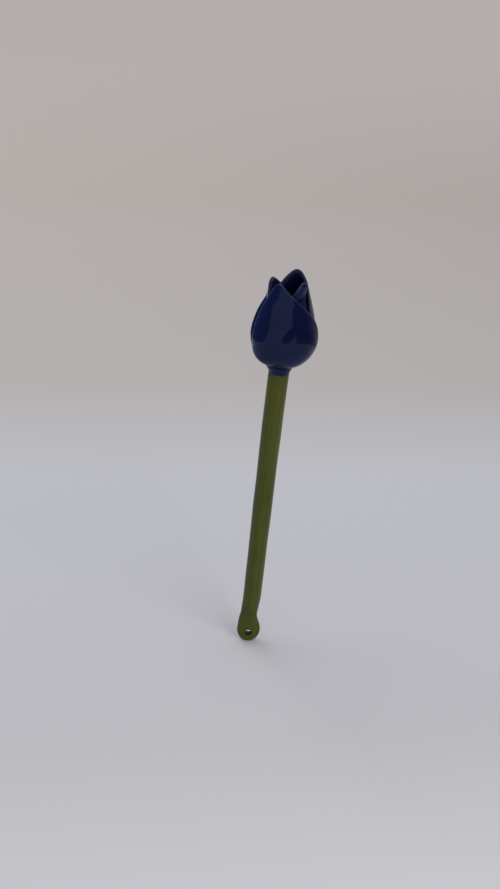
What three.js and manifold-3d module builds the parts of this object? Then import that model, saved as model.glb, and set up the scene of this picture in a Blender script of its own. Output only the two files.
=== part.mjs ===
// Ceramic tulip: a hand-built glazed bloom on a rolled clay stem with a pierced flat foot.
// Millimetres, +Z up, origin at the foot of the stem, front of the bloom towards -Y.
import * as THREE from 'three';
import Module from 'manifold-3d';
import { mergeVertices } from 'three/addons/utils/BufferGeometryUtils.js';

// Stem: a rolled rod that bows a little and turns into the lean of the bloom
const STEM_LENGTH = 161.45;
const STEM_TOP_DIAMETER = 9.4;
const STEM_FOOT_DIAMETER = 9.0;
const STEM_BOW = 0.2;
const STEM_BOW_HEIGHT = 53;
const NECK_LEAN_DEG = 2.2;
const NECK_TURN_LENGTH = 14;

// Foot tab: the end of the stem pressed flat and pierced
const TAB_WIDTH = 12;
const TAB_THICKNESS = 3.8;
const TAB_LENGTH = 20;
const TAB_END_LENGTH = 7.5;
const TAB_ROUNDING = 1.1;
const TAB_TO_ROD_LENGTH = 32;
const WAIST_SHIFT = 0.75;
const WAIST_SHIFT_FROM = 9;
const WAIST_HEIGHT = 16;
const HOLE_DIAMETER = 3.7;
const HOLE_TO_END = 6.15;
const HOLE_TO_ROD = 3;

// Spigot on top of the stem, and the ring and core that it passes through and holds
const SPIGOT_DIAMETER = 5.0;
const SPIGOT_GRIP = 4.5;
const SOCKET_WALL = 1.2;
const COLLAR_HEIGHT = 4.0;
const COLLAR_DIAMETER = 14;
const COLLAR_SHIFT = 1;
const COLLAR_LIP = 0.5;
const COLLAR_FLARE_EASE = 0.3;
const CAP_OVERHANG = 0.7;
const CAP_HEIGHT = 2.8;

// Bloom: the curve that every petal's back follows, from the core out to the belly and in to the mouth.
// It leaves the foot level, stands upright at the belly and leans in at the mouth, and each run
// says how far it keeps to that direction.
const BELLY_RADIUS = 14.85;
const BELLY_HEIGHT = 13.0;
const MOUTH_RADIUS = 5.2;
const MOUTH_HEIGHT = 44.5;
const MOUTH_LEAN_DEG = 19;
const FOOT_RUN = 5.8;
const BELLY_RUN_BELOW = 5.6;
const BELLY_RUN_ABOVE = 10;
const MOUTH_RUN = 12;

// The left half of the cup is drawn out by this factor.
const LEFT_STRETCH = 1.025;

// Low on one side a petal may swell out past that curve, round an azimuth and between two lengths along.
const SWELL_AZIMUTH_DEG = -54;
const SWELL_HALF_ANGLE_DEG = 52;
const SWELL_PEAK = 9.5;
const SWELL_END = 16.5;

// Petal walls
const PETAL_THICKNESS = 1.5;
const MOUTH_THICKNESS = 1.1;
const RIM_THICKNESS = 0.8;

// Shares of a petal: where its wall thins to the rim, across and along, and how much of that is
// taken off the outside. Its tip turns as a power of the rise above the belly.
const RIM_FROM_MIDDLE = 0.65;
const RIM_FROM_FOOT = 0.85;
const RIM_OUTSIDE_SHARE = 0.2;
const SWEEP_EASE = 2;

// Gaps
const FIT_CLEARANCE = 0.3;
const LAYER_CLEARANCE = 0.35;

// Petals. Angles are degrees round the stem from the front, positive towards +X.
// azimuth, footSpread and spread: where the petal stands, and half its angle at foot and belly.
// length: along its back. layer: how many petals may lie outside it. sweep: the turn of its tip.
// lean and leanFrom: the tip's outward set, and the share of the rise where it begins.
// fullness and bluntness: the shape of its outline above the belly. leftBluntness: its left side's own.
// swell: how far it swells out, low on one side.
// tuckedUnder: the petals that cover its edges. freeLayer: its layer at the belly, clear of them.
const FRONT = {
  name: 'outer_petal_front', azimuth: 3, footSpread: 74, spread: 75.5, length: 46.1, layer: 0,
  sweep: -48, lean: 0.85, leanFrom: 0.65, fullness: 2.7, bluntness: 0.95, leftBluntness: 0.76,
  swell: 1.25,
};
const LEFT = {
  name: 'outer_petal_left', azimuth: -126, footSpread: 64, spread: 66.5, length: 43.45, layer: 1,
  sweep: -4, lean: 3, leanFrom: 0.58, fullness: 2.9, bluntness: 1.05, swell: 1.25,
  tuckedUnder: [FRONT], freeLayer: 0,
};
const BACK = {
  name: 'outer_petal_back', azimuth: 139, footSpread: 72, spread: 84, length: 50.55, layer: 1,
  sweep: 24, lean: 0.2, leanFrom: 0.45, fullness: 6, bluntness: 0.97,
  tuckedUnder: [FRONT, LEFT], freeLayer: 1,
};
const INNER_RIGHT = {
  name: 'inner_petal_right', azimuth: 10, footSpread: 50, spread: 51, length: 48.9, layer: 2,
  sweep: 32.5, lean: 2.95, leanFrom: 0.65, fullness: 2.2, bluntness: 0.45, leftBluntness: 0.72,
};
const INNER_BACK = {
  name: 'inner_petal_back', azimuth: 150, footSpread: 42, spread: 50, length: 37, layer: 2,
  sweep: 0, lean: 0, leanFrom: 0.65, fullness: 2.5, bluntness: 0.6,
};
const INNER_LEFT = {
  name: 'inner_petal_left', azimuth: -104, footSpread: 42, spread: 52, length: 38, layer: 2,
  sweep: 0, lean: 0, leanFrom: 0.65, fullness: 2.5, bluntness: 0.6,
};
const PETALS = [FRONT, LEFT, BACK, INNER_RIGHT, INNER_BACK, INNER_LEFT];

// A tucked petal comes out over this many degrees, past the edges that cover it: sooner at the belly
// and later towards the tip. The lengths along it say where the one passes into the other.
const TUCK_MARGIN_DEG = 2;
const TUCK_RUN_DEG = 16;
const TOP_MARGIN_DEG = 25;
const TOP_RUN_DEG = 30;
const TOP_FROM = 22;
const TOP_TO = 40;

// Facets
const ROUND_SIDES = 24;
const STEM_ROWS = 32;
const PETAL_COLUMNS = 16;
const PETAL_ROWS = 20;
const TIP_SHARE = 0.985;
const FLARE_STEPS = 5;
const ROUND_STEPS = 4;

const { clamp, degToRad, euclideanModulo, lerp, smoothstep } = THREE.MathUtils;
const wasm = await Module();
wasm.setup();

function weld(geometry) {
  const bare = new THREE.BufferGeometry();
  bare.setAttribute('position', geometry.getAttribute('position'));
  bare.setIndex(geometry.index);
  return mergeVertices(bare, 1e-4);
}

function toSolid(geometry) {
  const welded = weld(geometry);
  const vertProperties = welded.getAttribute('position').array;
  const triVerts = Uint32Array.from(welded.index.array);
  return new wasm.Manifold(new wasm.Mesh({ numProp: 3, vertProperties, triVerts }));
}

function fromSolid(solid) {
  const { vertProperties, triVerts } = solid.getMesh();
  const geometry = new THREE.BufferGeometry();
  geometry.setAttribute('position', new THREE.BufferAttribute(vertProperties, 3));
  geometry.setIndex(new THREE.BufferAttribute(triVerts, 1));
  return geometry;
}

// Moves every vertex of a geometry by a function of its old place.
function reshape(geometry, place) {
  const position = geometry.getAttribute('position');
  const point = new THREE.Vector3();
  for (let i = 0; i < position.count; i += 1) {
    point.fromBufferAttribute(position, i);
    position.setXYZ(i, ...place(point));
  }
  return weld(geometry);
}

// A solid of revolution round Z from a profile of (radius, height) points.
function turned(points) {
  return new THREE.LatheGeometry(points, ROUND_SIDES).rotateX(Math.PI / 2);
}

function meshOf(name, geometry, material) {
  geometry.computeVertexNormals();
  const mesh = new THREE.Mesh(geometry, material);
  mesh.name = name;
  return mesh;
}

const glaze = (color) => new THREE.MeshStandardMaterial({ color, roughness: 0.12, metalness: 0 });
const BLUE = 0x0b1030;
const GREEN = 0x454a20;

// The bloom's own frame stands on the stem's shoulder and leans with it.
const neck = new THREE.Vector3(0, 0, STEM_LENGTH);
const lean = degToRad(NECK_LEAN_DEG);
const bloom = new THREE.Group();
bloom.position.copy(neck);
bloom.rotation.y = lean;
bloom.updateMatrix();

// Heights above the shoulder: the ring stands on it, and the core and petals stand on the ring.
const collarBottom = FIT_CLEARANCE;
const bloomBase = collarBottom + COLLAR_HEIGHT + FIT_CLEARANCE;
const spigotLength = bloomBase + SPIGOT_GRIP;
const spigotRadius = SPIGOT_DIAMETER / 2;
const boreRadius = spigotRadius + FIT_CLEARANCE;
const coreRadius = boreRadius + SOCKET_WALL;
const petalFootRadius = coreRadius + FIT_CLEARANCE;

// Stem
function stemCurve() {
  const bow = new THREE.Vector3(-STEM_BOW, 0, STEM_BOW_HEIGHT);
  const axis = new THREE.Vector3(Math.sin(lean), 0, Math.cos(lean));
  const turn = neck.clone().addScaledVector(axis, -NECK_TURN_LENGTH);
  return new THREE.CubicBezierCurve3(new THREE.Vector3(), bow, turn, neck);
}

// The waist above the tab stands a little to the left of its middle.
function waistShift(height) {
  const below = smoothstep(height, WAIST_SHIFT_FROM, WAIST_HEIGHT);
  const above = 1 - smoothstep(height, WAIST_HEIGHT, TAB_TO_ROD_LENGTH);
  return -WAIST_SHIFT * below * above;
}

// The rod starts inside the tab just above the hole, flat there and round further up.
function stemRod() {
  const curve = stemCurve();
  const length = curve.getLength();
  const start = HOLE_TO_END + HOLE_DIAMETER / 2 + HOLE_TO_ROD;
  const unit = new THREE.CylinderGeometry(1, 1, 1, ROUND_SIDES, STEM_ROWS);
  unit.rotateX(Math.PI / 2).translate(0, 0, 0.5);
  return reshape(unit, ({ x, y, z }) => {
    const along = lerp(start, length, z);
    const centre = curve.getPointAt(along / length);
    const tangent = curve.getTangentAt(along / length);
    const radius = lerp(STEM_FOOT_DIAMETER, STEM_TOP_DIAMETER, along / length) / 2;
    const flatness = 1 - smoothstep(along, start, TAB_TO_ROD_LENGTH);
    const halfThickness = lerp(radius, TAB_THICKNESS / 2 - FIT_CLEARANCE, flatness);
    return [
      centre.x + waistShift(along) + x * radius * tangent.z,
      y * halfThickness,
      centre.z - x * radius * tangent.x,
    ];
  });
}

function footTab() {
  const half = TAB_WIDTH / 2;
  const neckHalf = STEM_FOOT_DIAMETER / 2 - FIT_CLEARANCE;
  const end = TAB_END_LENGTH;
  const straight = (TAB_LENGTH - end) / 2;
  const outline = new THREE.Shape();
  outline.absellipse(0, end, half, end, Math.PI, 2 * Math.PI, false);
  outline.bezierCurveTo(half, end + straight, neckHalf, TAB_LENGTH - straight, neckHalf, TAB_LENGTH);
  outline.lineTo(-neckHalf, TAB_LENGTH);
  outline.bezierCurveTo(-neckHalf, TAB_LENGTH - straight, -half, end + straight, -half, end);
  const hole = new THREE.Path();
  hole.absarc(0, HOLE_TO_END, HOLE_DIAMETER / 2, 0, 2 * Math.PI, true);
  outline.holes.push(hole);
  const tab = new THREE.ExtrudeGeometry(outline, {
    depth: TAB_THICKNESS - 2 * TAB_ROUNDING,
    bevelThickness: TAB_ROUNDING,
    bevelSize: TAB_ROUNDING,
    bevelOffset: -TAB_ROUNDING,
    bevelSegments: ROUND_STEPS,
    curveSegments: ROUND_SIDES / 2,
  });
  tab.translate(0, 0, TAB_ROUNDING - TAB_THICKNESS / 2);
  return reshape(tab.rotateX(Math.PI / 2), ({ x, y, z }) => [x + waistShift(z), y, z]);
}

function spigot() {
  const sunk = FIT_CLEARANCE;
  const rod = new THREE.CylinderGeometry(spigotRadius, spigotRadius, spigotLength + sunk, ROUND_SIDES);
  rod.rotateX(Math.PI / 2).translate(0, 0, (spigotLength - sunk) / 2);
  return rod.applyMatrix4(bloom.matrix);
}

function makeStem() {
  const solid = toSolid(footTab()).add(toSolid(stemRod())).add(toSolid(spigot()));
  return meshOf('stem', fromSolid(solid), glaze(GREEN));
}

// Collar: a ring threaded on the spigot, as wide as the stem below and flared to a round lip above,
// which is pulled a little to the left
function makeCollar() {
  const top = collarBottom + COLLAR_HEIGHT;
  const lipRadius = COLLAR_DIAMETER / 2;
  const footRadius = STEM_TOP_DIAMETER / 2;
  const flare = new THREE.QuadraticBezierCurve(
    new THREE.Vector2(footRadius, collarBottom),
    new THREE.Vector2(lerp(footRadius, lipRadius, COLLAR_FLARE_EASE), collarBottom + COLLAR_HEIGHT / 2),
    new THREE.Vector2(lipRadius, top - COLLAR_LIP),
  );
  const lipCentre = new THREE.Vector2(lipRadius - COLLAR_LIP, top - COLLAR_LIP);
  const lip = new THREE.EllipseCurve(lipCentre.x, lipCentre.y, COLLAR_LIP, COLLAR_LIP, 0, Math.PI / 2);
  const profile = [
    new THREE.Vector2(boreRadius, collarBottom),
    ...flare.getPoints(FLARE_STEPS),
    ...lip.getPoints(ROUND_STEPS).slice(1),
    new THREE.Vector2(boreRadius, top),
    new THREE.Vector2(boreRadius, collarBottom),
  ];
  const ring = reshape(turned(profile), ({ x, y, z }) => {
    const outward = (Math.hypot(x, y) - boreRadius) / (lipRadius - boreRadius);
    const upward = (z - collarBottom) / COLLAR_HEIGHT;
    return [x - COLLAR_SHIFT * outward * upward, y, z];
  });
  return meshOf('neck_collar', ring, glaze(BLUE));
}

// The petals' back curve, as (radius, height) above the bloom's base
const mouthLean = degToRad(MOUTH_LEAN_DEG);
const lowerBack = new THREE.CubicBezierCurve(
  new THREE.Vector2(petalFootRadius, 0),
  new THREE.Vector2(petalFootRadius + FOOT_RUN, 0),
  new THREE.Vector2(BELLY_RADIUS, BELLY_HEIGHT - BELLY_RUN_BELOW),
  new THREE.Vector2(BELLY_RADIUS, BELLY_HEIGHT),
);
const upperBack = new THREE.CubicBezierCurve(
  new THREE.Vector2(BELLY_RADIUS, BELLY_HEIGHT),
  new THREE.Vector2(BELLY_RADIUS, BELLY_HEIGHT + BELLY_RUN_ABOVE),
  new THREE.Vector2(
    MOUTH_RADIUS + MOUTH_RUN * Math.sin(mouthLean),
    MOUTH_HEIGHT - MOUTH_RUN * Math.cos(mouthLean),
  ),
  new THREE.Vector2(MOUTH_RADIUS, MOUTH_HEIGHT),
);
const back = new THREE.CurvePath();
back.add(lowerBack);
back.add(upperBack);
const backLength = back.getLength();
const bellyLength = lowerBack.getLength();

// The wall of a petal and the pitch of the layers, by the distance along the back
const wallAt = (along) => lerp(PETAL_THICKNESS, MOUTH_THICKNESS, along / backLength);
const pitchAt = (along) => wallAt(along) + LAYER_CLEARANCE;

// A point at a depth inside the back curve. Past the mouth the curve runs on straight.
function backPoint(along, depth) {
  const share = Math.min(along / backLength, 1);
  const tangent = back.getTangentAt(share);
  const point = back.getPointAt(share);
  point.addScaledVector(tangent, Math.max(along - backLength, 0));
  return { radius: point.x - tangent.y * depth, height: point.y + tangent.x * depth };
}

// Core: the post that the petals' feet stand round, under its cap, with the spigot's socket below
function makeCore() {
  const roof = bloomBase + SPIGOT_GRIP + FIT_CLEARANCE;
  const layers = 1 + Math.max(...PETALS.map((petal) => petal.layer));
  const capBase = bloomBase + layers * pitchAt(0);
  const capRadius = coreRadius + CAP_OVERHANG;
  const dome = new THREE.EllipseCurve(0, capBase + CAP_OVERHANG, capRadius, CAP_HEIGHT, 0, Math.PI / 2);
  const profile = [
    new THREE.Vector2(0, roof),
    new THREE.Vector2(boreRadius, roof),
    new THREE.Vector2(boreRadius, bloomBase),
    new THREE.Vector2(coreRadius, bloomBase),
    new THREE.Vector2(coreRadius, capBase),
    ...dome.getPoints(ROUND_STEPS),
  ];
  profile.at(-1).x = 0;
  return meshOf('receptacle', turned(profile), glaze(BLUE));
}

// Petals
function halfAngle(petal, along, x) {
  if (along < bellyLength) return lerp(petal.footSpread, petal.spread, smoothstep(along, 0, bellyLength));
  const rise = (along - bellyLength) / (petal.length - bellyLength);
  const bluntness = (x < 0 && petal.leftBluntness) || petal.bluntness;
  return petal.spread * (1 - rise ** petal.fullness) ** bluntness;
}

// Degrees from the nearer edge of a petal, at its widest
function besideEdge(petal, azimuth) {
  const turn = euclideanModulo(azimuth - petal.azimuth + 180, 360) - 180;
  return Math.abs(turn) - petal.spread;
}

// Clear of the petals that cover it, a tucked petal's foot comes out to the outer layer.
function layerAt(petal, azimuth, along) {
  if (!petal.tuckedUnder) return petal.layer;
  const beside = Math.min(...petal.tuckedUnder.map((cover) => besideEdge(cover, azimuth)));
  const top = smoothstep(along, TOP_FROM, TOP_TO);
  const margin = lerp(TUCK_MARGIN_DEG, TOP_MARGIN_DEG, top);
  const clear = smoothstep(beside - margin, 0, lerp(TUCK_RUN_DEG, TOP_RUN_DEG, top));
  return lerp(petal.layer, petal.freeLayer * smoothstep(along, 0, bellyLength), clear);
}

function swellAt(petal, azimuth, along) {
  if (!petal.swell) return 0;
  const turn = clamp((azimuth - SWELL_AZIMUTH_DEG) / SWELL_HALF_ANGLE_DEG, -1, 1);
  const around = (1 + Math.cos(Math.PI * turn)) / 2;
  const up = smoothstep(along, 0, SWELL_PEAK) * (1 - smoothstep(along, SWELL_PEAK, SWELL_END));
  return petal.swell * around * up;
}

// Rows lie closer at the foot and the tip, and the last one stops short of the pointed end.
function rowShare(row) {
  const eased = (1 - Math.cos(Math.PI * row)) / 2;
  return TIP_SHARE * (row + eased) / 2;
}

// A box with x across the petal, y from its back to its inside and z along it, bent into place.
function makePetal(petal) {
  const box = new THREE.BoxGeometry(2, 1, 1, PETAL_COLUMNS, 1, PETAL_ROWS);
  const geometry = reshape(box, ({ x, y, z }) => {
    const share = rowShare(z + 0.5);
    const along = share * petal.length;
    const rise = Math.max((along - bellyLength) / (petal.length - bellyLength), 0);
    const middle = petal.azimuth + petal.sweep * rise ** SWEEP_EASE;
    const azimuth = middle + x * halfAngle(petal, along, x);
    const sideRim = smoothstep(Math.abs(x), RIM_FROM_MIDDLE, 1);
    const tipRim = smoothstep(share, RIM_FROM_FOOT, 1);
    const wall = wallAt(along);
    const thinning = (wall - RIM_THICKNESS) * Math.max(sideRim, tipRim);
    const outside = thinning * RIM_OUTSIDE_SHARE;
    const inside = outside + wall - thinning;
    const depth = layerAt(petal, azimuth, along) * pitchAt(along) + lerp(outside, inside, y + 0.5);
    const { radius, height } = backPoint(along, depth - swellAt(petal, azimuth, along));
    const reach = radius + petal.lean * smoothstep(rise, petal.leanFrom, 1);
    const angle = degToRad(azimuth);
    const across = reach * Math.sin(angle);
    const stretch = across < 0 ? LEFT_STRETCH : 1;
    return [across * stretch, -reach * Math.cos(angle), bloomBase + height];
  });
  return meshOf(petal.name, geometry, glaze(BLUE));
}

bloom.add(makeCollar(), makeCore(), ...PETALS.map(makePetal));
const tulip = new THREE.Group();
tulip.add(makeStem(), bloom);
export default tulip;
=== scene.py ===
"""A hand-built ceramic tulip: a dark blue glazed bloom on a green glazed stem with a pierced foot."""
import math

import bpy
import numpy as np
from mathutils import Matrix, Vector
from mathutils.geometry import interpolate_bezier


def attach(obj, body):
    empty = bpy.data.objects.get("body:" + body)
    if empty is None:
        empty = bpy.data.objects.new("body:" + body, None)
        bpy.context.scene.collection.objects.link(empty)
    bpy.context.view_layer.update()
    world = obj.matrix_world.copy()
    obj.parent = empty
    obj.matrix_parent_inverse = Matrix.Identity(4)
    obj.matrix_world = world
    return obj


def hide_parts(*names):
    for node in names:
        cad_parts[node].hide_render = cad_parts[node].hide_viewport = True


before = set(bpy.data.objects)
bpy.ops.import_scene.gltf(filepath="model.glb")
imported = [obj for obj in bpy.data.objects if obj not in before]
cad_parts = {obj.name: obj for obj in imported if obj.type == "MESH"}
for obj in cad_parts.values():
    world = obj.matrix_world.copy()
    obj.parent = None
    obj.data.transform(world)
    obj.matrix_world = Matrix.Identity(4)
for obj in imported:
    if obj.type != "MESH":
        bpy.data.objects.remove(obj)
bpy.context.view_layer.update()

# Stem: a clay rod rolled by hand, nearly straight. Its foot is pressed flat and pierced to hang by, with a
# waist above it, and a spigot on top goes through the collar into the core of the bloom. It is glazed olive
# green all over: the glaze has run into fine streaks along the rod, and the hole is painted dark as shade.
STEM_LENGTH = 0.16145
STEM_TOP_RADIUS = 0.0047
STEM_FOOT_RADIUS = 0.0045
STEM_BOW = Vector((-0.0002, 0, 0.053))
NECK_LEAN = math.radians(2.2)
NECK_TURN = 0.014
FOOT_HALF_WIDTH = 0.006
FOOT_HALF_THICKNESS = 0.0019
FOOT_END_LENGTH = 0.0075
FOOT_END_ROUNDING = 0.0012
FOOT_WAIST = 0.0042
FOOT_LENGTH = 0.020
FLAT_LENGTH = 0.012
ROD_FROM = 0.032
WAIST_SHIFT = 0.00075
WAIST_SHIFT_FROM = 0.009
WAIST_HEIGHT = 0.016
FOOT_SQUARENESS = 3.4
ROUND_SQUARENESS = 2
ROUNDING_RUN = (0.008, 0.030)
HOLE_RADIUS = 0.00185
HOLE_HEIGHT = 0.00615
HOLE_MOUTH = 0.0006
DARK_HOLE_EDGE = (0.98, 1.12)
CUT_PAST_FACE = 0.001
SPIGOT_RADIUS = 0.0025
SPIGOT_LENGTH = 0.0091
SPIGOT_FILLET = 0.0001
SPIGOT_ROUNDING = 0.0004

# The rings that the stem is pulled up in: angles of the round end, then lengths and counts up the rod
FOOT_END_ANGLES = np.radians([3, 9, 17, 27, 38, 50, 64, 78])
FOOT_RINGS_TO = 0.034
FOOT_RING_STEP = 0.0012
ROD_RINGS_FROM = 0.036
ROD_RINGS_SHORT = 0.0008
ROD_RINGS = 46
STEM_SIDES = 48
STEM_SMOOTH_ANGLE = math.radians(40)
HOLE_SIDES = 40
CURVE_STEPS = 300

# The rounded shoulder: how far each ring lies below the rod's end and inside its radius
SHOULDER_RINGS = [(0.0003, 0.00004), (0.00006, 0.00018), (0, 0.0005)]

# Waves left by rolling: radians per metre, turns round the rod, start and share of their height
ROLLING_HEIGHT = 0.009
ROLLING_WAVES = [(155, 0, 0.7, 1), (97, 2, 0, 0.7), (260, -1, 0, 0.5)]
ROLLING_START = (0.02, 0.05)
ROLLING_END_BELOW_TOP = np.array([0.02, 0.002])

# The green glaze's tones, each with its place from thick to thin, and the dark green painted as shade inside
# the hole
GREEN_TONES = [
    (0.30, (0.052, 0.059, 0.0055)),
    (0.50, (0.070, 0.078, 0.0080)),
    (0.72, (0.094, 0.099, 0.0145)),
]
HOLE_SHADE_GREEN = (0.010, 0.012, 0.003, 1)

neck = Vector((0, 0, STEM_LENGTH))
neck_axis = Vector((math.sin(NECK_LEAN), 0, math.cos(NECK_LEAN)))
stem_line = np.array(interpolate_bezier(Vector(), STEM_BOW, neck - NECK_TURN * neck_axis, neck, CURVE_STEPS))
stem_along = np.append(0, np.cumsum(np.linalg.norm(np.diff(stem_line, axis=0), axis=1)))
stem_end = stem_along[-1]


def ease(value, start, end):
    """Rises smoothly from 0 at start to 1 at end."""
    share = np.clip((value - start) / (end - start), 0, 1)
    return share * share * (3 - 2 * share)


def mix(low, high, share):
    return low + (high - low) * share


def pull_rings(name, sides, count):
    """A closed tube of rings one unit apart, pulled up from a filled circle ring by ring."""
    bpy.ops.object.select_all(action="DESELECT")
    bpy.ops.mesh.primitive_circle_add(vertices=sides, radius=1, fill_type="NGON")
    piece = bpy.context.object
    piece.name = name
    piece.data.name = name
    bpy.ops.object.mode_set(mode="EDIT")
    bpy.ops.mesh.select_all(action="SELECT")
    for _ in range(count - 1):
        bpy.ops.mesh.extrude_region_move(TRANSFORM_OT_translate={"value": (0, 0, 1)})
    bpy.ops.object.mode_set(mode="OBJECT")
    return piece


def press(piece, place):
    """Moves every vertex of a piece by a function of its old place."""
    points = np.empty(len(piece.data.vertices) * 3)
    piece.data.vertices.foreach_get("co", points)
    moved = np.stack(place(*points.reshape(-1, 3).T), axis=1)
    piece.data.vertices.foreach_set("co", moved.ravel())
    piece.data.update()


def clean(piece):
    """Merges what touches and turns the faces outwards."""
    bpy.ops.object.mode_set(mode="EDIT")
    bpy.ops.mesh.select_all(action="SELECT")
    bpy.ops.mesh.remove_doubles(threshold=1e-6)
    bpy.ops.mesh.normals_make_consistent(inside=False)
    bpy.ops.object.mode_set(mode="OBJECT")


def soften(piece):
    """Rounds a piece with one level of subdivision."""
    rounding = piece.modifiers.new("Rounding", "SUBSURF")
    rounding.levels = 1
    rounding.render_levels = 1
    bpy.ops.object.modifier_apply(modifier=rounding.name)
    bpy.ops.object.shade_smooth()


def rod_rings():
    """Rows of distance along the stem, half width, half thickness and squareness, from the foot up."""
    end = FOOT_END_LENGTH * (1 - np.cos(FOOT_END_ANGLES))
    foot = np.arange(FOOT_END_LENGTH, FOOT_RINGS_TO, FOOT_RING_STEP)
    rod = np.linspace(ROD_RINGS_FROM, stem_end - ROD_RINGS_SHORT, ROD_RINGS)
    along = np.concatenate([end, foot, rod])
    radius = mix(STEM_FOOT_RADIUS, STEM_TOP_RADIUS, along / stem_end)
    waist = mix(FOOT_WAIST, radius, ease(along, WAIST_HEIGHT, ROD_FROM))
    width = mix(FOOT_HALF_WIDTH, waist, ease(along, FOOT_END_LENGTH, FOOT_LENGTH))
    width[:len(end)] *= np.sin(FOOT_END_ANGLES)
    thickness = mix(FOOT_HALF_THICKNESS, radius, ease(along, FLAT_LENGTH, ROD_FROM))
    rounding = np.clip(1 - along / FOOT_END_ROUNDING, 0, 1)
    thickness *= np.sqrt(1 - rounding ** 2)
    squareness = mix(FOOT_SQUARENESS, ROUND_SQUARENESS, ease(along, *ROUNDING_RUN))
    rings = np.stack([along, width, thickness, squareness], axis=1)
    spigot_top = stem_end + SPIGOT_LENGTH
    top = [(stem_end - below, STEM_TOP_RADIUS - inside) for below, inside in SHOULDER_RINGS]
    top += [
        (stem_end, SPIGOT_RADIUS + SPIGOT_FILLET),
        (stem_end + SPIGOT_FILLET, SPIGOT_RADIUS),
        (spigot_top - SPIGOT_ROUNDING, SPIGOT_RADIUS),
        (spigot_top, SPIGOT_RADIUS - SPIGOT_ROUNDING),
    ]
    return np.append(rings, [(height, wide, wide, ROUND_SQUARENESS) for height, wide in top], axis=0)


def make_stem():
    rings = rod_rings()
    piece = pull_rings("rolled_stem", STEM_SIDES, len(rings))

    def place(x, y, level):
        along, width, thickness, squareness = rings[np.rint(level).astype(int)].T
        turn = np.arctan2(y, x)
        rolled = ease(along, *ROLLING_START) * (1 - ease(along, *(stem_end - ROLLING_END_BELOW_TOP)))
        wave = sum(
            share * np.sin(along * pace + turns * turn + start)
            for pace, turns, start, share in ROLLING_WAVES
        )
        swell = 1 + ROLLING_HEIGHT * rolled * wave
        across = width * swell * np.sign(x) * np.abs(np.cos(turn)) ** (2 / squareness)
        depth = thickness * swell * np.sign(y) * np.abs(np.sin(turn)) ** (2 / squareness)
        inside = np.minimum(along, stem_end)
        shift = WAIST_SHIFT * ease(along, WAIST_SHIFT_FROM, WAIST_HEIGHT)
        shift = shift * (1 - ease(along, WAIST_HEIGHT, ROD_FROM))
        centre_x = np.interp(inside, stem_along, stem_line[:, 0]) - shift
        centre_z = np.interp(inside, stem_along, stem_line[:, 2])
        slope = np.gradient(stem_line[:, 0], stem_along)
        tilt = np.arcsin(np.interp(inside, stem_along, slope))
        past = along - inside
        return (
            centre_x + across * np.cos(tilt) + past * np.sin(tilt),
            depth,
            centre_z - across * np.sin(tilt) + past * np.cos(tilt),
        )

    press(piece, place)
    clean(piece)
    soften(piece)
    return piece


def pierce(piece):
    """Cuts the hanging hole through the foot, with mouths rounded as wet clay leaves them."""
    mouth_angles = np.radians(np.arange(0, 91, 15))
    depths = FOOT_HALF_THICKNESS - HOLE_MOUTH + HOLE_MOUTH * np.sin(mouth_angles)
    radii = HOLE_RADIUS + HOLE_MOUTH * (1 - np.cos(mouth_angles))
    depths = np.append(depths, FOOT_HALF_THICKNESS + CUT_PAST_FACE)
    radii = np.append(radii, radii[-1])
    rings = np.stack([np.append(-depths[::-1], depths), np.append(radii[::-1], radii)], axis=1)
    cutter = pull_rings("hole_cutter", HOLE_SIDES, len(rings))

    def place(x, y, level):
        depth, radius = rings[np.rint(level).astype(int)].T
        return radius * x, depth, HOLE_HEIGHT + radius * y

    press(cutter, place)
    clean(cutter)
    bpy.ops.object.select_all(action="DESELECT")
    bpy.context.view_layer.objects.active = piece
    piece.select_set(True)
    cut = piece.modifiers.new("Hole", "BOOLEAN")
    cut.operation = "DIFFERENCE"
    cut.solver = "EXACT"
    cut.object = cutter
    bpy.ops.object.modifier_apply(modifier=cut.name)
    bpy.data.objects.remove(cutter)
    bpy.ops.object.shade_smooth_by_angle(angle=STEM_SMOOTH_ANGLE)


def node_adder(nodes):
    """A function that adds a node with its settings and the values of its sockets."""
    def add(kind, **values):
        node = nodes.new(kind)
        for key, value in values.items():
            if key in node.inputs:
                node.inputs[key].default_value = value
            else:
                setattr(node, key, value)
        return node

    return add


def add_range(add, start, end, **settings):
    """A node that maps start to 0 and end to 1."""
    return add("ShaderNodeMapRange", **settings, **{"From Min": start, "From Max": end})


def new_material(name):
    """A material, its shader and a function that adds nodes to it."""
    material = bpy.data.materials.new(name)
    material.use_nodes = True
    nodes = material.node_tree.nodes
    return material, nodes["Principled BSDF"], node_adder(nodes)


def set_ramp(ramp, stops):
    """Gives a colour ramp its (place, colour) stops."""
    elements = ramp.color_ramp.elements
    while len(elements) < len(stops):
        elements.new(1)
    for element, (position, colour) in zip(elements, stops):
        element.position = position
        element.color = (*colour, 1)


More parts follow.
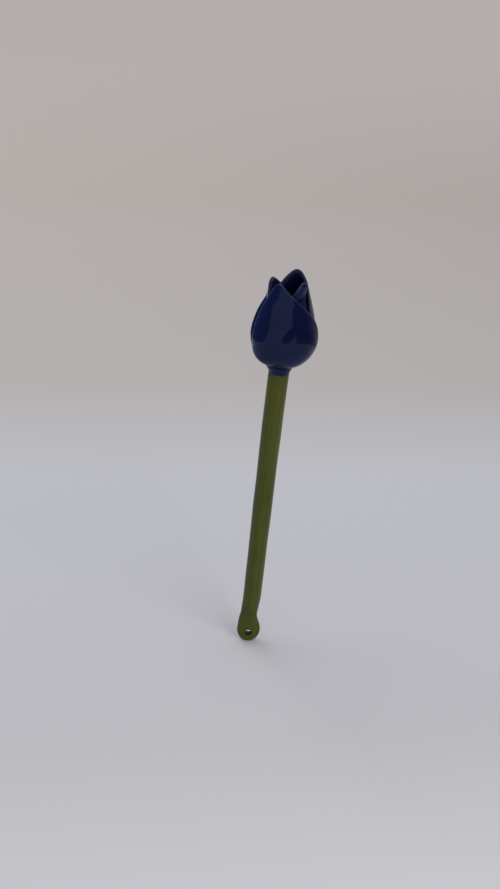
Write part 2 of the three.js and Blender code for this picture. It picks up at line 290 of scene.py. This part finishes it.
def make_green_glaze():
    glaze, shader, add = new_material("olive_green_glaze")
    join = glaze.node_tree.links.new
    place = add("ShaderNodeTexCoord")

    # Fine streaks along the rod, over broader pools
    along_rod = add("ShaderNodeMapping", Scale=(1, 1, 0.03))
    join(place.outputs["Object"], along_rod.inputs["Vector"])
    streaks = add("ShaderNodeTexNoise", Scale=750, Detail=4, Roughness=0.55)
    join(along_rod.outputs["Vector"], streaks.inputs["Vector"])
    pools = add("ShaderNodeTexNoise", Scale=70, Detail=2)
    join(place.outputs["Object"], pools.inputs["Vector"])
    depth = add("ShaderNodeMix", Factor=0.45)
    join(streaks.outputs["Fac"], depth.inputs["A"])
    join(pools.outputs["Fac"], depth.inputs["B"])
    tone = add("ShaderNodeValToRGB")
    set_ramp(tone, GREEN_TONES)
    join(depth.outputs["Result"], tone.inputs["Fac"])

    # Painted shade inside the hole, told by the distance from its middle in hole radii
    from_hole = add("ShaderNodeMapping", vector_type="TEXTURE", Location=(0, 0, HOLE_HEIGHT))
    from_hole.inputs["Scale"].default_value = (HOLE_RADIUS, 1, HOLE_RADIUS)
    join(place.outputs["Object"], from_hole.inputs["Vector"])
    reach = add("ShaderNodeVectorMath", operation="LENGTH")
    join(from_hole.outputs["Vector"], reach.inputs[0])
    hole_edge = add_range(add, *DARK_HOLE_EDGE)
    join(reach.outputs["Value"], hole_edge.inputs["Value"])
    body = add("ShaderNodeMix", data_type="RGBA")
    join(hole_edge.outputs["Result"], body.inputs["Factor"])
    body.inputs["A"].default_value = HOLE_SHADE_GREEN
    join(tone.outputs["Color"], body.inputs["B"])
    join(body.outputs["Result"], shader.inputs["Base Color"])

    # Gloss and the slight unevenness of the glaze's skin
    gloss = add("ShaderNodeMapRange", **{"To Min": 0.07, "To Max": 0.16})
    join(pools.outputs["Fac"], gloss.inputs["Value"])
    join(gloss.outputs["Result"], shader.inputs["Roughness"])
    shader.inputs["Specular IOR Level"].default_value = 0.3
    peel = add("ShaderNodeTexNoise", Scale=420, Detail=2)
    join(place.outputs["Object"], peel.inputs["Vector"])
    skin = add("ShaderNodeBump", Strength=0.25, Distance=0.0001)
    join(peel.outputs["Fac"], skin.inputs["Height"])
    join(skin.outputs["Normal"], shader.inputs["Normal"])
    return glaze


green_glaze = make_green_glaze()
stem = make_stem()
pierce(stem)
stem.data.materials.append(green_glaze)
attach(stem, "root")
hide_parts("stem")

# Neck collar: a ring of clay threaded on the spigot, flared to a wide lip under the petals. The lip is
# pulled to the left, pressed in at front and back, and raised towards the petals. The ring carries the
# blue glaze down to a neat line round the top of the green stem.
FIT_GAP = 0.0003
COLLAR_HEIGHT = 0.0040
COLLAR_LIP_RADIUS = 0.0070
COLLAR_SHIFT = 0.0010
COLLAR_TUCK = 0.14
COLLAR_RISE = 0.00042
COLLAR_RISE_POWER = 3
COLLAR_LIP = 0.0005
COLLAR_SEAT = 0.00004
COLLAR_SEAT_INSET = 0.0003
FLARE_STEPS = 9
BORE_RADIUS = SPIGOT_RADIUS + FIT_GAP
TURNED_SIDES = 64
TURNED_SMOOTH_ANGLE = math.radians(45)

# How far the curve that draws the flare has widened, at two shares of the collar's height
FLARE_CONTROLS = [(0.0005, 0.3), (0.0013, 0.6)]

# The blue glaze's tones, each with its place from thick to thin, and its colour on a rim: paler for the thin
# glaze there and for a painted sheen of light on the rounded rim
BLUE_TONES = [
    (0.30, (0.0032, 0.0048, 0.026)),
    (0.70, (0.0054, 0.0080, 0.040)),
]
RIM_BLUE = (0.044, 0.056, 0.125, 1)

bloom_place = Matrix.Translation(neck) @ Matrix.Rotation(NECK_LEAN, 4, "Y")
bloom_base = COLLAR_HEIGHT + 2 * FIT_GAP


def turn_piece(name, profile):
    """A piece turned round the bloom's axis from a closed profile of (radius, height) points."""
    profile = np.array(profile)
    piece = pull_rings(name, TURNED_SIDES, len(profile))

    def place(x, y, level):
        radius, height = profile[np.rint(level).astype(int)].T
        return radius * x, radius * y, height

    press(piece, place)
    return piece


def open_ends(piece):
    """Takes away the two end faces, where the first and last rings of a closed ring meet."""
    bpy.ops.object.mode_set(mode="EDIT")
    bpy.ops.mesh.select_all(action="DESELECT")
    bpy.ops.object.mode_set(mode="OBJECT")
    for face in piece.data.polygons:
        face.select = len(face.vertices) > 4
    bpy.ops.object.mode_set(mode="EDIT")
    bpy.ops.mesh.select_mode(type="FACE")
    bpy.ops.mesh.delete(type="ONLY_FACE")
    bpy.ops.mesh.select_mode(type="VERT")
    bpy.ops.object.mode_set(mode="OBJECT")


def make_collar():
    top = FIT_GAP + COLLAR_HEIGHT
    flare_end = top - COLLAR_LIP
    low, high = [
        Vector((STEM_TOP_RADIUS + widening, FIT_GAP + COLLAR_HEIGHT * share))
        for widening, share in FLARE_CONTROLS
    ]
    flare = interpolate_bezier(
        Vector((STEM_TOP_RADIUS, COLLAR_SEAT)),
        low,
        high,
        Vector((COLLAR_LIP_RADIUS, flare_end)),
        FLARE_STEPS,
    )
    lip_angles = np.radians(np.arange(15, 91, 15))
    lip = COLLAR_LIP_RADIUS - COLLAR_LIP + COLLAR_LIP * np.cos(lip_angles)
    lip_heights = flare_end + COLLAR_LIP * np.sin(lip_angles)
    start = (BORE_RADIUS, COLLAR_SEAT)
    profile = [start, (STEM_TOP_RADIUS - COLLAR_SEAT_INSET, COLLAR_SEAT)]
    profile += [tuple(point) for point in flare]
    profile += list(zip(lip, lip_heights))
    profile += [(BORE_RADIUS, top), start]
    piece = turn_piece("flared_collar", profile)
    open_ends(piece)
    clean(piece)

    def pull(x, y, height):
        outward = (np.hypot(x, y) - BORE_RADIUS) / (COLLAR_LIP_RADIUS - BORE_RADIUS)
        upward = height / top
        x = x - COLLAR_SHIFT * outward * upward
        y = y * (1 - COLLAR_TUCK * outward * upward)
        rise = COLLAR_RISE * (np.hypot(x, y) / COLLAR_LIP_RADIUS) ** COLLAR_RISE_POWER
        return x, y, height + rise * upward

    press(piece, pull)
    piece.data.transform(bloom_place)
    bpy.ops.object.shade_smooth_by_angle(angle=TURNED_SMOOTH_ANGLE)
    return piece


def make_blue_glaze():
    glaze, shader, add = new_material("cobalt_blue_glaze")
    join = glaze.node_tree.links.new
    place = add("ShaderNodeTexCoord")

    # Pools of thicker and thinner glaze
    pools = add("ShaderNodeTexNoise", Scale=110, Detail=3, Roughness=0.5)
    join(place.outputs["Object"], pools.inputs["Vector"])
    depth = add("ShaderNodeValToRGB")
    set_ramp(depth, BLUE_TONES)
    join(pools.outputs["Fac"], depth.inputs["Fac"])

    # Paler rims, unevenly, where the pieces mark them: partly the thin glaze there, partly a painted sheen
    # where the rounded rims catch the light
    rim = add("ShaderNodeAttribute", attribute_name="thin_glaze_and_sheen")
    break_up = add("ShaderNodeTexNoise", Scale=600, Detail=3)
    join(place.outputs["Object"], break_up.inputs["Vector"])
    uneven_rim_paleness = add("ShaderNodeMath", operation="MULTIPLY")
    join(rim.outputs["Fac"], uneven_rim_paleness.inputs[0])
    join(break_up.outputs["Fac"], uneven_rim_paleness.inputs[1])
    body = add("ShaderNodeMix", data_type="RGBA")
    join(uneven_rim_paleness.outputs["Value"], body.inputs["Factor"])
    join(depth.outputs["Color"], body.inputs["A"])
    body.inputs["B"].default_value = RIM_BLUE
    join(body.outputs["Result"], shader.inputs["Base Color"])

    # Gloss and the slight unevenness of the glaze's skin
    gloss = add("ShaderNodeMapRange", **{"To Min": 0.03, "To Max": 0.09})
    join(pools.outputs["Fac"], gloss.inputs["Value"])
    join(gloss.outputs["Result"], shader.inputs["Roughness"])
    peel = add("ShaderNodeTexNoise", Scale=300, Detail=1)
    join(place.outputs["Object"], peel.inputs["Vector"])
    skin = add("ShaderNodeBump", Strength=0.15, Distance=0.0001)
    join(peel.outputs["Fac"], skin.inputs["Height"])
    join(skin.outputs["Normal"], shader.inputs["Normal"])
    return glaze


blue_glaze = make_blue_glaze()
collar = make_collar()
collar.data.materials.append(blue_glaze)
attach(collar, "root")
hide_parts("neck_collar")

# Petal core: the thick clay post in the middle of the bloom, socketed on the spigot.
# The petals' feet are stuck round it with slip, under its domed cap, and it is glazed with them.
CORE_WALL = 0.0012
CORE_RADIUS = BORE_RADIUS + CORE_WALL
SOCKET_DEPTH = 0.0048
CAP_OVERHANG = 0.0007
CAP_RADIUS = CORE_RADIUS + CAP_OVERHANG
CAP_HEIGHT = 0.0028
PETAL_THICKNESS = 0.0015
MOUTH_THICKNESS = 0.0011
LAYER_GAP = 0.00035
PETAL_LAYERS = 3


def make_core():
    roof = bloom_base + SOCKET_DEPTH
    cap_base = bloom_base + PETAL_LAYERS * (PETAL_THICKNESS + LAYER_GAP)
    dome_angles = np.radians(np.arange(0, 91, 10))
    dome = CAP_RADIUS * np.cos(dome_angles)
    dome_heights = cap_base + CAP_OVERHANG + CAP_HEIGHT * np.sin(dome_angles)
    profile = [
        (0, roof),
        (BORE_RADIUS, roof),
        (BORE_RADIUS, bloom_base),
        (CORE_RADIUS, bloom_base),
        (CORE_RADIUS, cap_base),
    ]
    profile += list(zip(dome, dome_heights))
    piece = turn_piece("petal_core", profile)
    clean(piece)
    piece.data.transform(bloom_place)
    bpy.ops.object.shade_smooth_by_angle(angle=TURNED_SMOOTH_ANGLE)
    return piece


core = make_core()
core.data.materials.append(blue_glaze)
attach(core, "root")
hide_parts("receptacle")

# Outer petals: three thin slabs of clay, bent to one cup whose left half is drawn out a little, and stuck
# round the core one over the other. Their rims are thumbed thin and round, and a paler blue is painted along
# them: partly the glaze thinning there, partly a painted sheen where the rounded rims catch the light.
PETAL_FOOT_RADIUS = CORE_RADIUS + FIT_GAP
FOOT_RUN = 0.0058
BELLY_RADIUS = 0.01475
BELLY_HEIGHT = 0.013
BELLY_RUN_BELOW = 0.0056
BELLY_RUN_ABOVE = 0.010
MOUTH_RADIUS = 0.0052
MOUTH_HEIGHT = 0.0445
MOUTH_LEAN = math.radians(19)
MOUTH_RUN = 0.012
LEFT_STRETCH = 1.02

# Low on the left a petal may swell: the middle and half of the angle, in degrees, and two lengths along
SWELL_MIDDLE = -54
SWELL_HALF_ANGLE = 52
SWELL_PEAK = 0.0095
SWELL_END = 0.0165

# Rims: how thick, the share of the thinning taken off outside, where it begins across and along the petal,
# and the distances from the edge where the rim's paler blue, thin glaze and painted sheen, is palest and
# where it ends
RIM_THICKNESS = 0.0008
RIM_OUTSIDE_SHARE = 0.2
RIM_FROM_MIDDLE = 0.65
RIM_FROM_FOOT = 0.85
PALEST_RIM = 0.0001
PALE_RIM = 0.0013

# Tips: the share of the length where a petal ends, how far round its end goes, and how late the tip turns
TIP_SHARE = 0.985
TIP_ROUND_TO = 0.985
SWEEP_POWER = 2

# Degrees past a covering petal's edge between which a tucked petal comes out, at foot, belly and top,
# and the lengths along the petal between which the top's take over
FOOT_TUCK = (3, 12)
BELLY_TUCK = (2, 18)
TOP_TUCK = (25, 55)
TOP_TUCK_RISE = (0.022, 0.040)

PETAL_COLUMNS = 46
PETAL_ROWS = 60

mouth_outward = MOUTH_RUN * math.sin(MOUTH_LEAN)
mouth_downward = MOUTH_RUN * math.cos(MOUTH_LEAN)
lower_back = interpolate_bezier(
    Vector((PETAL_FOOT_RADIUS, 0)),
    Vector((PETAL_FOOT_RADIUS + FOOT_RUN, 0)),
    Vector((BELLY_RADIUS, BELLY_HEIGHT - BELLY_RUN_BELOW)),
    Vector((BELLY_RADIUS, BELLY_HEIGHT)),
    CURVE_STEPS,
)
upper_back = interpolate_bezier(
    Vector((BELLY_RADIUS, BELLY_HEIGHT)),
    Vector((BELLY_RADIUS, BELLY_HEIGHT + BELLY_RUN_ABOVE)),
    Vector((MOUTH_RADIUS + mouth_outward, MOUTH_HEIGHT - mouth_downward)),
    Vector((MOUTH_RADIUS, MOUTH_HEIGHT)),
    CURVE_STEPS,
)
back_line = np.array(lower_back + upper_back[1:])
back_along = np.append(0, np.cumsum(np.linalg.norm(np.diff(back_line, axis=0), axis=1)))
back_end = back_along[-1]
belly_along = back_along[CURVE_STEPS - 1]
back_slope = np.gradient(back_line, back_along, axis=0)
back_slope /= np.linalg.norm(back_slope, axis=1, keepdims=True)


def back_point(along, depth):
    """Radius and height at a depth inside the curve that the petals' backs follow."""
    inside = np.minimum(along, back_end)
    radius = np.interp(inside, back_along, back_line[:, 0])
    height = np.interp(inside, back_along, back_line[:, 1])
    out = np.interp(inside, back_along, back_slope[:, 0])
    up = np.interp(inside, back_along, back_slope[:, 1])
    past = along - inside
    return radius + out * past - up * depth, height + up * past + out * depth


def spaced(share):
    """Rows lie closer at both ends."""
    return (share + (1 - np.cos(np.pi * share)) / 2) / 2


def layer_at(petal, azimuth, along):
    """How many petals lie outside this one here. Clear of those that cover it, it comes out."""
    if "under" not in petal:
        return petal["layer"]
    turns = [(azimuth - over["azimuth"] + 180) % 360 - 180 for over in petal["under"]]
    beside = np.min([np.abs(turn) - over["spread"] for turn, over in zip(turns, petal["under"])], axis=0)
    up = ease(along, 0, belly_along)
    top = ease(along, *TOP_TUCK_RISE)
    near, far = [
        mix(mix(at_foot, at_belly, up), at_top, top)
        for at_foot, at_belly, at_top in zip(FOOT_TUCK, BELLY_TUCK, TOP_TUCK)
    ]
    return mix(petal["layer"], petal["free_layer"] * up, ease(beside, near, far))


def swell_at(petal, azimuth, along):
    """How far a petal swells out, low on its left."""
    around = (1 + np.cos(np.pi * np.clip((azimuth - SWELL_MIDDLE) / SWELL_HALF_ANGLE, -1, 1))) / 2
    up = ease(along, 0, SWELL_PEAK) * (1 - ease(along, SWELL_PEAK, SWELL_END))
    return petal.get("swell", 0) * around * up


def bend_petal(petal, x, y, side):
    """Bends points of a flat slab into a petal, and says how far each one is from the petal's edge."""
    across = 2 * spaced((x + 1) / 2) - 1
    share = TIP_SHARE * spaced((y + 1) / 2)
    along = share * petal["length"]
    rise = np.clip((along - belly_along) / (petal["length"] - belly_along), 0, 1)
    low_half = mix(petal["foot_spread"], petal["spread"], ease(along, 0, belly_along))
    bluntness = np.where(across < 0, petal.get("left_bluntness", petal["bluntness"]), petal["bluntness"])
    tip_half = petal["spread"] * (1 - rise ** petal["fullness"]) ** bluntness
    half = np.where(along < belly_along, low_half, tip_half)
    tip_from = TIP_SHARE - petal["tip_round"] / petal["length"]
    tip_end = np.clip((share - tip_from) / (TIP_SHARE - tip_from), 0, TIP_ROUND_TO)
    half = half * np.sqrt(1 - tip_end ** 2)
    azimuth = petal["azimuth"] + petal["sweep"] * rise ** SWEEP_POWER + across * half
    rim = np.maximum(ease(np.abs(across), RIM_FROM_MIDDLE, 1), ease(share, RIM_FROM_FOOT, 1))
    wall = mix(PETAL_THICKNESS, MOUTH_THICKNESS, along / back_end)
    thinning = (wall - RIM_THICKNESS) * rim
    outside = thinning * RIM_OUTSIDE_SHARE
    inside = outside + wall - thinning
    depth = layer_at(petal, azimuth, along) * (wall + LAYER_GAP) + mix(outside, inside, side)
    radius, height = back_point(along, depth - swell_at(petal, azimuth, along))
    radius = radius + petal["lean"] * ease(rise, petal["lean_from"], 1)
    turn = np.radians(azimuth)
    sideways = radius * np.sin(turn)
    sideways = sideways * np.where(sideways < 0, LEFT_STRETCH, 1)
    points = (sideways, -radius * np.cos(turn), bloom_base + height)
    from_side = (1 - np.abs(across)) * np.radians(half) * radius
    from_tip = (TIP_SHARE - share) * petal["length"]
    return points, np.minimum(from_side, from_tip)


def make_petal(name, petal):
    bpy.ops.object.select_all(action="DESELECT")
    bpy.ops.mesh.primitive_grid_add(x_subdivisions=PETAL_COLUMNS, y_subdivisions=PETAL_ROWS, size=2)
    piece = bpy.context.object
    piece.name = name
    piece.data.name = name
    bpy.ops.object.mode_set(mode="EDIT")
    bpy.ops.mesh.select_all(action="SELECT")
    bpy.ops.mesh.extrude_region_move(TRANSFORM_OT_translate={"value": (0, 0, 1)})
    bpy.ops.object.mode_set(mode="OBJECT")
    # The rim's paler blue at each point: partly thin glaze, partly a painted sheen of light on the rounded
    # rim
    thin_glaze_and_sheen = piece.data.attributes.new("thin_glaze_and_sheen", "FLOAT", "POINT")

    def place(x, y, side):
        points, from_edge = bend_petal(petal, x, y, side)
        rim_paleness = 1 - ease(from_edge, PALEST_RIM, petal.get("pale_rim", PALE_RIM))
        thin_glaze_and_sheen.data.foreach_set("value", rim_paleness)
        return points

    press(piece, place)
    clean(piece)
    piece.data.transform(bloom_place)
    soften(piece)
    piece.data.materials.append(blue_glaze)
    return piece


# azimuth, foot_spread and spread: where the petal stands, and half its angle at foot and belly, in degrees.
# length: along its back. layer: how many petals may lie outside it. sweep: the turn of its tip.
# lean and lean_from: the tip's outward set, and the share of the rise where it begins.
# fullness and bluntness: its outline above the belly, with left_bluntness for a left side of its own.
# tip_round: the rounded length of its tip. swell: how far it swells out, low on the left.
# under and free_layer: the petals that cover it, and its layer at the belly, clear of them.
# pale_rim: the width of its pale rim, thin glaze with a painted sheen, where that isn't the usual one.
front = {"azimuth": 3, "foot_spread": 74, "spread": 75.5, "length": 0.0461, "layer": 0, "sweep": -48,
         "lean": 0.00085, "lean_from": 0.65, "fullness": 2.7, "bluntness": 0.95, "left_bluntness": 0.76,
         "tip_round": 0.0009, "swell": 0.00125}
left = {"azimuth": -126, "foot_spread": 64, "spread": 66.5, "length": 0.04345, "layer": 1, "sweep": -4,
        "lean": 0.003, "lean_from": 0.58, "fullness": 2.9, "bluntness": 1.05, "tip_round": 0.0015,
        "swell": 0.00125, "under": [front], "free_layer": 0, "pale_rim": 0.0018}
back = {"azimuth": 139, "foot_spread": 72, "spread": 84, "length": 0.05055, "layer": 1, "sweep": 24,
        "lean": 0.0002, "lean_from": 0.45, "fullness": 6, "bluntness": 0.97, "tip_round": 0.0008,
        "under": [front, left], "free_layer": 1, "pale_rim": 0.0032}
outer_ring = {"outer_petal_front": front, "outer_petal_left": left, "outer_petal_back": back}
for node, petal in outer_ring.items():
    piece = make_petal("glazed_" + node, petal)
    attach(piece, "root")
    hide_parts(node)

# Inner petals: three slabs of the same clay inside the outer ring, stuck to the core under its cap.
# One stands up in the gap at the right, and the other two are short and line the cup.
inner_right = {"azimuth": 10, "foot_spread": 50, "spread": 51, "length": 0.0489, "layer": 2, "sweep": 32.5,
               "lean": 0.00295, "lean_from": 0.65, "fullness": 2.2, "bluntness": 0.45,
               "left_bluntness": 0.72, "tip_round": 0.0007}
inner_back = {"azimuth": 150, "foot_spread": 42, "spread": 50, "length": 0.037, "layer": 2, "sweep": 0,
              "lean": 0, "lean_from": 0.65, "fullness": 2.5, "bluntness": 0.6, "tip_round": 0.0014}
inner_left = {"azimuth": -104, "foot_spread": 42, "spread": 52, "length": 0.038, "layer": 2, "sweep": 0,
              "lean": 0, "lean_from": 0.65, "fullness": 2.5, "bluntness": 0.6, "tip_round": 0.0014}
inner_ring = {
    "inner_petal_right": inner_right,
    "inner_petal_back": inner_back,
    "inner_petal_left": inner_left,
}
for node, petal in inner_ring.items():
    piece = make_petal("glazed_" + node, petal)
    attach(piece, "root")
    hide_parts(node)

# Floor: a wide sheet of pale paper, with painted light and shade across it: bluish near the flower and
# warmer further back.
# Far away it fades into the backdrop, for the camera alone, so that no edge shows.
FLOOR_RADIUS = 4.0
FLOOR_SIDES = 96
FLOOR_NEAR = -0.15
FLOOR_FAR = 1.95
FLOOR_BACKWARD = (-0.153, 0.988, 0)
FADE_FROM = 0.7
FADE_TO = 1.8
BACKDROP_COLOUR = (0.455, 0.425, 0.415, 1)

# The paper's pale colour with painted light and shade, each tone with its place from near to far
PAPER_LIGHT_AND_SHADE = [
    (0, (0.615, 0.615, 0.638)),
    (0.04, (0.54, 0.54, 0.565)),
    (0.143, (0.565, 0.571, 0.605)),
    (0.20, (0.512, 0.488, 0.475)),
    (0.405, (0.547, 0.502, 0.471)),
    (0.70, (0.673, 0.617, 0.582)),
]


def make_floor():
    bpy.ops.object.select_all(action="DESELECT")
    bpy.ops.mesh.primitive_circle_add(vertices=FLOOR_SIDES, radius=FLOOR_RADIUS, fill_type="NGON")
    floor = bpy.context.object
    floor.name = "paper_floor"
    paper, shader, add = new_material("pale_paper")
    join = paper.node_tree.links.new
    place = add("ShaderNodeTexCoord")

    # Painted light and shade on the paper, from near to far
    backward = add("ShaderNodeVectorMath", operation="DOT_PRODUCT")
    join(place.outputs["Object"], backward.inputs[0])
    backward.inputs[1].default_value = FLOOR_BACKWARD
    depth = add_range(add, FLOOR_NEAR, FLOOR_FAR)
    join(backward.outputs["Value"], depth.inputs["Value"])
    tone = add("ShaderNodeValToRGB")
    set_ramp(tone, PAPER_LIGHT_AND_SHADE)
    join(depth.outputs["Result"], tone.inputs["Fac"])
    join(tone.outputs["Color"], shader.inputs["Base Color"])
    shader.inputs["Roughness"].default_value = 0.9
    shader.inputs["Specular IOR Level"].default_value = 0.1

    # The fade into the backdrop
    away = add("ShaderNodeVectorMath", operation="LENGTH")
    join(place.outputs["Object"], away.inputs[0])
    fade = add_range(add, FADE_FROM, FADE_TO, interpolation_type="SMOOTHSTEP")
    join(away.outputs["Value"], fade.inputs["Value"])
    ray = add("ShaderNodeLightPath")
    seen = add("ShaderNodeMath", operation="MULTIPLY")
    join(fade.outputs["Result"], seen.inputs[0])
    join(ray.outputs["Is Camera Ray"], seen.inputs[1])
    haze = add("ShaderNodeEmission", Color=BACKDROP_COLOUR)
    faded = add("ShaderNodeMixShader")
    join(seen.outputs["Value"], faded.inputs["Fac"])
    join(shader.outputs["BSDF"], faded.inputs[1])
    join(haze.outputs["Emission"], faded.inputs[2])
    join(faded.outputs["Shader"], paper.node_tree.nodes["Material Output"].inputs["Surface"])
    floor.data.materials.append(paper)
    floor.visible_glossy = False
    return floor


floor = make_floor()

# Light: a large soft box above, to the left and behind, a weaker one in front at the right that the glaze
# doesn't mirror, and the even light of a pale room. The glaze mirrors that room: pale in front and behind,
# with a dark oval at the left, a dark right side, a dark doorway in front, and the ground below.
KEY_PLACE = Vector((-0.7, 0.35, 1.3))
KEY_SIZE = 0.9
KEY_POWER = 6
FILL_PLACE = Vector((0.7, -0.75, 0.8))
FILL_SIZE = 0.8
FILL_POWER = 5
LIGHT_AIM = Vector((0, 0, 0.1))
ROOM_LIGHT = (0.55, 0.55, 0.57, 1)
WALL_SLANT = -0.9
GROUND_WAY = (0.02, -0.17, -0.985)
GROUND_EDGE = (0.367, 0.407)
GROUND_FAR_WAY = (0.6, 0.8, 0)
GROUND_FAR_EDGE = (0.5, 0.95)
GROUND_FAR_COLOUR = (0.42, 0.38, 0.36, 1)
OVAL_EDGE = (0.95, 1.05)
LEFT_OVAL = {
    "Location": (-0.93, 0.32, -0.13),
    "Rotation": (math.radians(-8), 0, 0),
    "Scale": (0.62, 0.82, 0.37),
}
LEFT_OVAL_COLOUR = (0.03, 0.06, 0.20, 1)
DOORWAY = {
    "Location": (0.17, -0.97, -0.08),
    "Rotation": (0, math.radians(-20), 0),
    "Scale": (0.36, 1, 0.16),
}
DOORWAY_COLOUR = (0.02, 0.02, 0.025, 1)

# The walls' tones, each with its place round the room, and the ground's, from its edge to straight below
WALL_TONES = [
    (0.405, (0.20, 0.26, 0.40)),
    (0.43, (0.46, 0.45, 0.45)),
    (0.60, (0.35, 0.35, 0.35)),
    (0.77, (0.05, 0.05, 0.055)),
    (0.80, (0.02, 0.02, 0.025)),
    (0.919, (0.02, 0.02, 0.025)),
    (0.933, (0.20, 0.26, 0.40)),
]
GROUND_TONES = [(0.34, (0.20, 0.25, 0.38)), (0.95, (0.15, 0.175, 0.285))]


def add_soft_box(name, place, size, power):
    bpy.ops.object.light_add(type="AREA", location=place)
    lamp = bpy.context.object
    lamp.name = name
    lamp.data.shape = "SQUARE"
    lamp.data.size = size
    lamp.data.energy = power
    lamp.rotation_euler = (LIGHT_AIM - place).to_track_quat("-Z", "Y").to_euler()
    return lamp


add_soft_box("soft_box_above", KEY_PLACE, KEY_SIZE, KEY_POWER)
fill = add_soft_box("soft_box_in_front", FILL_PLACE, FILL_SIZE, FILL_POWER)
fill.visible_glossy = False


def make_room():
    room = bpy.data.worlds.new("pale_room")
    room.use_nodes = True
    room.node_tree.nodes.clear()
    add = node_adder(room.node_tree.nodes)
    join = room.node_tree.links.new
    place = add("ShaderNodeTexCoord")

    def add_along(direction):
        """How far the view points along a direction."""
        along = add("ShaderNodeVectorMath", operation="DOT_PRODUCT")
        join(place.outputs["Generated"], along.inputs[0])
        along.inputs[1].default_value = direction
        return along.outputs["Value"]

    def add_dark_oval(mapping, colour, around_it):
        """An oval patch of one colour on what lies around it."""
        within = add("ShaderNodeMapping", vector_type="TEXTURE", **mapping)
        join(place.outputs["Generated"], within.inputs["Vector"])
        reach = add("ShaderNodeVectorMath", operation="LENGTH")
        join(within.outputs["Vector"], reach.inputs[0])
        edge = add_range(add, *OVAL_EDGE)
        join(reach.outputs["Value"], edge.inputs["Value"])
        oval = add("ShaderNodeMix", data_type="RGBA")
        join(edge.outputs["Result"], oval.inputs["Factor"])
        oval.inputs["A"].default_value = colour
        join(around_it, oval.inputs["B"])
        return oval.outputs["Result"]

    # Walls, by the heading from the front round by the left, the back and the right, slanted by the height
    split = add("ShaderNodeSeparateXYZ")
    join(place.outputs["Generated"], split.inputs["Vector"])
    heading = add("ShaderNodeMath", operation="ARCTAN2")
    join(split.outputs["X"], heading.inputs[0])
    join(split.outputs["Y"], heading.inputs[1])
    slanted = add("ShaderNodeMath", operation="MULTIPLY_ADD")
    join(split.outputs["Z"], slanted.inputs[0])
    slanted.inputs[1].default_value = WALL_SLANT
    join(heading.outputs["Value"], slanted.inputs[2])
    around = add_range(add, -math.pi, math.pi)
    join(slanted.outputs["Value"], around.inputs["Value"])
    walls = add("ShaderNodeValToRGB")
    set_ramp(walls, WALL_TONES)
    join(around.outputs["Result"], walls.inputs["Fac"])
    left_side = add_dark_oval(LEFT_OVAL, LEFT_OVAL_COLOUR, walls.outputs["Color"])
    doorway = add_dark_oval(DOORWAY, DOORWAY_COLOUR, left_side)

    # The ground below, lighter on its far side
    down = add_along(GROUND_WAY)
    ground = add("ShaderNodeValToRGB")
    set_ramp(ground, GROUND_TONES)
    join(down, ground.inputs["Fac"])
    far_side = add_range(add, *GROUND_FAR_EDGE)
    join(add_along(GROUND_FAR_WAY), far_side.inputs["Value"])
    whole_ground = add("ShaderNodeMix", data_type="RGBA")
    join(far_side.outputs["Result"], whole_ground.inputs["Factor"])
    join(ground.outputs["Color"], whole_ground.inputs["A"])
    whole_ground.inputs["B"].default_value = GROUND_FAR_COLOUR
    ground_edge = add_range(add, *GROUND_EDGE)
    join(down, ground_edge.inputs["Value"])
    surround = add("ShaderNodeMix", data_type="RGBA")
    join(ground_edge.outputs["Result"], surround.inputs["Factor"])
    join(doorway, surround.inputs["A"])
    join(whole_ground.outputs["Result"], surround.inputs["B"])

    # The glaze mirrors the room, the camera sees the backdrop, and all else gets the even light
    light = add("ShaderNodeBackground", Color=ROOM_LIGHT)
    mirrored = add("ShaderNodeBackground")
    join(surround.outputs["Result"], mirrored.inputs["Color"])
    backdrop = add("ShaderNodeBackground", Color=BACKDROP_COLOUR)
    ray = add("ShaderNodeLightPath")
    shiny = add("ShaderNodeMixShader")
    join(ray.outputs["Is Glossy Ray"], shiny.inputs["Fac"])
    join(light.outputs["Background"], shiny.inputs[1])
    join(mirrored.outputs["Background"], shiny.inputs[2])
    direct = add("ShaderNodeMixShader")
    join(ray.outputs["Is Camera Ray"], direct.inputs["Fac"])
    join(shiny.outputs["Shader"], direct.inputs[1])
    join(backdrop.outputs["Background"], direct.inputs[2])
    out = add("ShaderNodeOutputWorld")
    join(direct.outputs["Shader"], out.inputs["Surface"])
    return room


bpy.context.scene.world = make_room()
bpy.context.scene.view_settings.view_transform = "Standard"

# Camera: at arm's length in front of the flower and above it, tipped a little to one side.
# The picture is 500 by 889, and its longer side takes up the whole height of the sensor.
CAMERA_PLACE = Vector((-0.02030, -0.39052, 0.37087))
CAMERA_HEADING = Vector((0.0236, 0.8428, -0.5377))
CAMERA_TIP = math.radians(6.04)
SENSOR_HEIGHT = 36.0
FOCAL_LENGTH = 40.5

bpy.ops.object.camera_add(location=CAMERA_PLACE)
camera = bpy.context.object
level_view = CAMERA_HEADING.to_track_quat("-Z", "Y").to_matrix()
camera.rotation_euler = (level_view @ Matrix.Rotation(CAMERA_TIP, 3, "Z")).to_euler()
camera.data.sensor_fit = "VERTICAL"
camera.data.sensor_height = SENSOR_HEIGHT
camera.data.lens = FOCAL_LENGTH
bpy.context.scene.camera = camera
